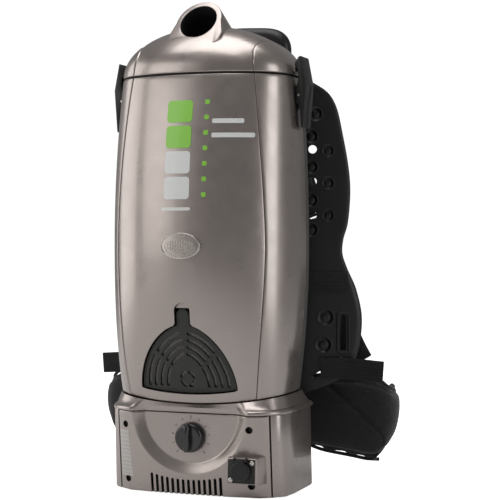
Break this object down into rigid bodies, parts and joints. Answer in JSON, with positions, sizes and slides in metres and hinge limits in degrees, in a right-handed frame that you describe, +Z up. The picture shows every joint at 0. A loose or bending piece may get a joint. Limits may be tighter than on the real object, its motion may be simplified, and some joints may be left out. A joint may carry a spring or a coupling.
{
  "type": "backpack vacuum cleaner",
  "caption": "Cordless backpack vacuum: tall barrel canister with lift-off domed lid and slanted hose port, battery base with knob and charge socket, side latches and padded harness.",
  "frame": {"origin": "middle of the flat underside of the base floor, where the machine stands", "axes": "+Z up; -Y towards the front that faces away from the wearer; +X to the right seen from that front"},
  "size_m": [0.3794, 0.3598, 0.5536],
  "materials": {
    "silver_casing": "metallic taupe-silver paint",
    "dark_casing": "satin moulded",
    "black_plastic": "fine moulded grain",
    "gloss_black": "polished moulded",
    "grille_plastic": "fine moulded grain",
    "rubber": "matt",
    "steel": "plated",
    "copper_winding": "enamelled wire",
    "circuit_board": "solder resist",
    "battery_wrap": "shrink wrap",
    "filter_paper": "layered paper",
    "filter_foam": "open-cell foam",
    "webbing": "woven polyester",
    "pad_fabric": "padded nylon",
    "badge_metal": "plated"
  },
  "bodies": {
    "casing": {"back_pad": "pad_fabric", "back_plate": "black_plastic", "badge_plate": "badge_metal", "bag_collar": "filter_paper", "base_floor": "black_plastic", "base_front_panel": "silver_casing", "base_housing": "silver_casing", "battery_pack": "battery_wrap", "belt_pad_left": "pad_fabric", "belt_pad_right": "pad_fabric", "belt_webbing_left": "webbing", "belt_webbing_right": "webbing", "buckle_socket": "black_plastic", "canister_front_shell": "silver_casing", "canister_rear_shell": "dark_casing", "carry_handle": "gloss_black", "charge_socket": "black_plastic", "control_board": "circuit_board", "exhaust_filter": "filter_foam", "fan_housing": "black_plastic", "fan_seal": "rubber", "filter_bag": "filter_paper", "latch_bracket_left": "black_plastic", "latch_bracket_right": "black_plastic", "latch_pin_left": "steel", "latch_pin_right": "steel", "lower_strap_left": "webbing", "lower_strap_right": "webbing", "lumbar_pad": "pad_fabric", "motor_can": "steel", "motor_deck": "black_plastic", "motor_filter": "filter_foam", "motor_floor": "black_plastic", "motor_windings": "copper_winding", "panel_screw_1": "steel", "panel_screw_2": "steel", "panel_screw_3": "steel", "panel_screw_4": "steel", "plate_webbing": "webbing", "potentiometer": "black_plastic", "shoulder_strap_left": "pad_fabric", "shoulder_strap_right": "pad_fabric", "side_band_left": "webbing", "side_band_right": "webbing", "socket_screw_1": "steel", "socket_screw_2": "steel", "strap_adjuster_left": "black_plastic", "strap_adjuster_right": "black_plastic"},
    "lid": {"lid_dome": "silver_casing", "inlet_elbow": "black_plastic", "lid_seal": "rubber"},
    "left_latch": {"latch_left": "gloss_black"},
    "right_latch": {"latch_right": "gloss_black"},
    "knob": {"speed_knob": "gloss_black", "knob_shaft": "steel"},
    "dust_cap": {"socket_cap": "black_plastic"},
    "exhaust_cover": {"exhaust_grille": "grille_plastic"},
    "fan_rotor": {"impeller": "black_plastic", "motor_shaft": "steel"},
    "belt_plug": {"buckle_plug": "black_plastic"}
  },
  "joints": [
    {"name": "lid_lift", "type": "slide", "parent": "casing", "child": "lid", "axis": [0, 0, 1], "range_m": [0, 0.12]},
    {"name": "latch_left_rock", "type": "hinge", "parent": "casing", "child": "left_latch", "pos_m": [-0.1092, 0.0076, 0.4465], "axis": [0, -1, 0], "range_deg": [0, 8], "stiffness_Nm_per_rad": 0.4},
    {"name": "latch_right_rock", "type": "hinge", "parent": "casing", "child": "right_latch", "pos_m": [0.1092, 0.0076, 0.4465], "axis": [0, 1, 0], "range_deg": [0, 8], "stiffness_Nm_per_rad": 0.4},
    {"name": "knob_turn", "type": "hinge", "parent": "casing", "child": "knob", "pos_m": [0, -0.06, 0.065], "axis": [0, 1, 0], "range_deg": [-135, 135]},
    {"name": "cap_flip", "type": "hinge", "parent": "casing", "child": "dust_cap", "pos_m": [0.0655, -0.0757, 0.0456], "axis": [-1, 0, 0], "range_deg": [0, 110], "stiffness_Nm_per_rad": 0.003},
    {"name": "cover_pull", "type": "slide", "parent": "casing", "child": "exhaust_cover", "axis": [0, -1, 0], "range_m": [0, 0.05]},
    {"name": "fan_spin", "type": "hinge", "parent": "casing", "child": "fan_rotor", "pos_m": [0, -0.006, 0.18], "axis": [0, 0, 1], "continuous": true},
    {"name": "buckle_release", "type": "slide", "parent": "casing", "child": "belt_plug", "axis": [-1, 0, 0], "range_m": [0, 0.024]}
  ]
}
